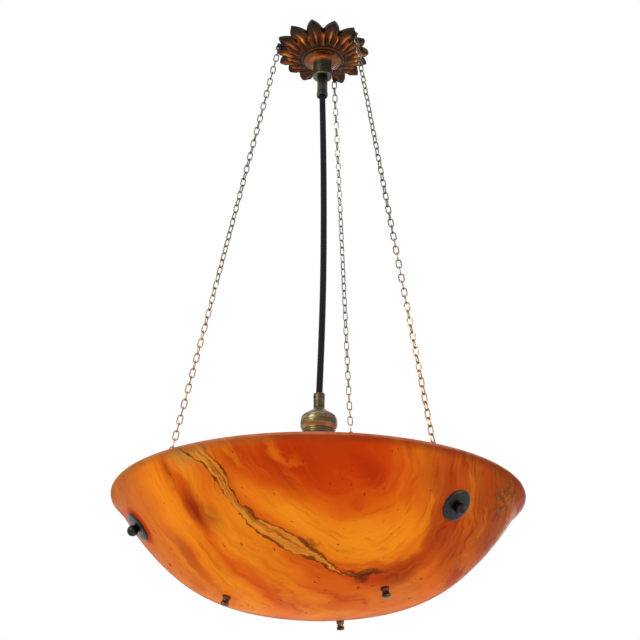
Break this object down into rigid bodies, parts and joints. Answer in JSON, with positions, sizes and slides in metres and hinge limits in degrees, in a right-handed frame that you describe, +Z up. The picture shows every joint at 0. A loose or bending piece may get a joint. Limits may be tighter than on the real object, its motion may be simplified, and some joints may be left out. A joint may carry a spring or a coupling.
{
  "type": "bowl pendant light",
  "caption": "Veined alabaster bowl hung by link chains from a cast leaf rose, with a lampholder and bulb hanging inside the bowl on a braided cord.",
  "frame": {"origin": "middle of the ceiling rose, on the ceiling's surface", "axes": "+Z up out of the ceiling face, +Y away from the side that the pendant is seen from, +X to the viewer's right"},
  "size_m": [0.42, 0.42, 0.6726],
  "materials": {
    "alabaster": "polished, veined, lit from inside",
    "cast_brass": "dark gilt, worn on the ridges",
    "antique_brass": "antique",
    "chain_brass": "antique",
    "black_bronze": "black patina",
    "leather": "matt",
    "steel": "plated",
    "cord_braid": "braided",
    "core_insulation": "matt",
    "ceramic": "glazed",
    "contact_brass": "bright",
    "cap_metal": "spun",
    "clear_glass": "clear",
    "filament_wire": "glowing"
  },
  "bodies": {
    "ceiling_fitting": {"ceiling_strap": "steel", "threaded_tube": "steel", "tube_lock_nut": "steel", "ceiling_rose": "cast_brass", "rose_centre_plate": "antique_brass", "rose_cup": "antique_brass", "upper_cord_grip": "antique_brass", "upper_grip_screw": "steel", "cord_in_rose": "cord_braid", "upper_cord_cores": "core_insulation", "terminal_block": "ceramic", "terminal_screws": "steel"},
    "rear_top_link": {"chain_rear_top_link": "chain_brass"},
    "rear_chain_run": {"chain_rear": "chain_brass"},
    "rear_bottom_link": {"chain_rear_bottom_link": "chain_brass"},
    "left_top_link": {"chain_left_top_link": "chain_brass"},
    "left_chain_run": {"chain_left": "chain_brass"},
    "right_top_link": {"chain_right_top_link": "chain_brass"},
    "right_chain_run": {"chain_right": "chain_brass"},
    "bowl": {"alabaster_bowl": "alabaster", "eye_bolts": "chain_brass", "inner_leather_washers": "leather", "outer_leather_washers": "leather", "disc_washers": "black_bronze", "ball_nuts": "black_bronze", "lower_studs": "steel", "lower_knobs": "antique_brass", "lower_stud_washers": "steel", "lower_stud_nuts": "steel"},
    "lamp": {"pendant_cord": "cord_braid", "cord_in_lampholder": "cord_braid", "lampholder_cord_grip": "antique_brass", "lampholder_grip_screw": "steel", "lampholder_cap": "antique_brass", "lampholder_body": "antique_brass", "lamp_insert": "ceramic", "lamp_insert_screws": "steel", "lamp_thread_shell": "contact_brass", "lamp_shell_rim": "ceramic", "lamp_centre_contact": "contact_brass", "lamp_cord_cores": "core_insulation"},
    "shade_ring_body": {"shade_ring": "antique_brass"},
    "bulb": {"bulb_glass": "clear_glass", "bulb_cap": "cap_metal", "bulb_contact_tip": "contact_brass", "bulb_stem": "clear_glass", "bulb_filament": "filament_wire"}
  },
  "joints": [
    {"name": "rear_chain_swing_fore_aft", "type": "hinge", "parent": "ceiling_fitting", "child": "rear_top_link", "pos_m": [0.01452, 0.05223, -0.01055], "axis": [1, 0, 0], "range_deg": [-5, 5]},
    {"name": "rear_chain_swing_sideways", "type": "hinge", "parent": "rear_top_link", "child": "rear_chain_run", "pos_m": [0.01488, 0.0535, -0.0173], "axis": [0, 1, 0], "range_deg": [-5, 5]},
    {"name": "left_chain_swing_fore_aft", "type": "hinge", "parent": "ceiling_fitting", "child": "left_top_link", "pos_m": [-0.0525, -0.01354, -0.01055], "axis": [1, 0, 0], "range_deg": [-5, 5]},
    {"name": "left_chain_swing_sideways", "type": "hinge", "parent": "left_top_link", "child": "left_chain_run", "pos_m": [-0.05377, -0.01387, -0.0173], "axis": [0, 1, 0], "range_deg": [-5, 5]},
    {"name": "right_chain_swing_fore_aft", "type": "hinge", "parent": "ceiling_fitting", "child": "right_top_link", "pos_m": [0.03797, -0.0387, -0.01055], "axis": [1, 0, 0], "range_deg": [-5, 5]},
    {"name": "right_chain_swing_sideways", "type": "hinge", "parent": "right_top_link", "child": "right_chain_run", "pos_m": [0.03889, -0.03963, -0.0173], "axis": [0, 1, 0], "range_deg": [-5, 5]},
    {"name": "bowl_level_sideways", "type": "hinge", "parent": "rear_chain_run", "child": "rear_bottom_link", "pos_m": [0.04393, 0.15797, -0.57504], "axis": [0, 1, 0], "range_deg": [-1.8, 1.8]},
    {"name": "bowl_level_fore_aft", "type": "hinge", "parent": "rear_bottom_link", "child": "bowl", "pos_m": [0.04434, 0.15946, -0.58302], "axis": [1, 0, 0], "range_deg": [-1.8, 1.8]},
    {"name": "lamp_swing", "type": "hinge", "parent": "ceiling_fitting", "child": "lamp", "pos_m": [0, 0, -0.06], "axis": [0, 1, 0], "range_deg": [-6, 6]},
    {"name": "shade_ring_turn", "type": "hinge", "parent": "lamp", "child": "shade_ring_body", "pos_m": [0, 0, -0.48], "axis": [0, 0, 1], "continuous": true},
    {"name": "bulb_turn", "type": "hinge", "parent": "lamp", "child": "bulb", "pos_m": [0, 0, -0.5], "axis": [0, 0, 1], "continuous": true}
  ],
  "couplings": [
    {"joint": "bowl_level_sideways", "follows": "rear_chain_swing_sideways", "ratio": -0.34011},
    {"joint": "bowl_level_fore_aft", "follows": "rear_chain_swing_fore_aft", "ratio": -0.32679},
    {"joint": "left_chain_swing_fore_aft", "follows": "rear_chain_swing_fore_aft", "ratio": 0.99875},
    {"joint": "left_chain_swing_sideways", "follows": "rear_chain_swing_sideways", "ratio": 0.99384},
    {"joint": "right_chain_swing_fore_aft", "follows": "rear_chain_swing_fore_aft", "ratio": 0.99878},
    {"joint": "right_chain_swing_sideways", "follows": "rear_chain_swing_sideways", "ratio": 0.99387}
  ]
}
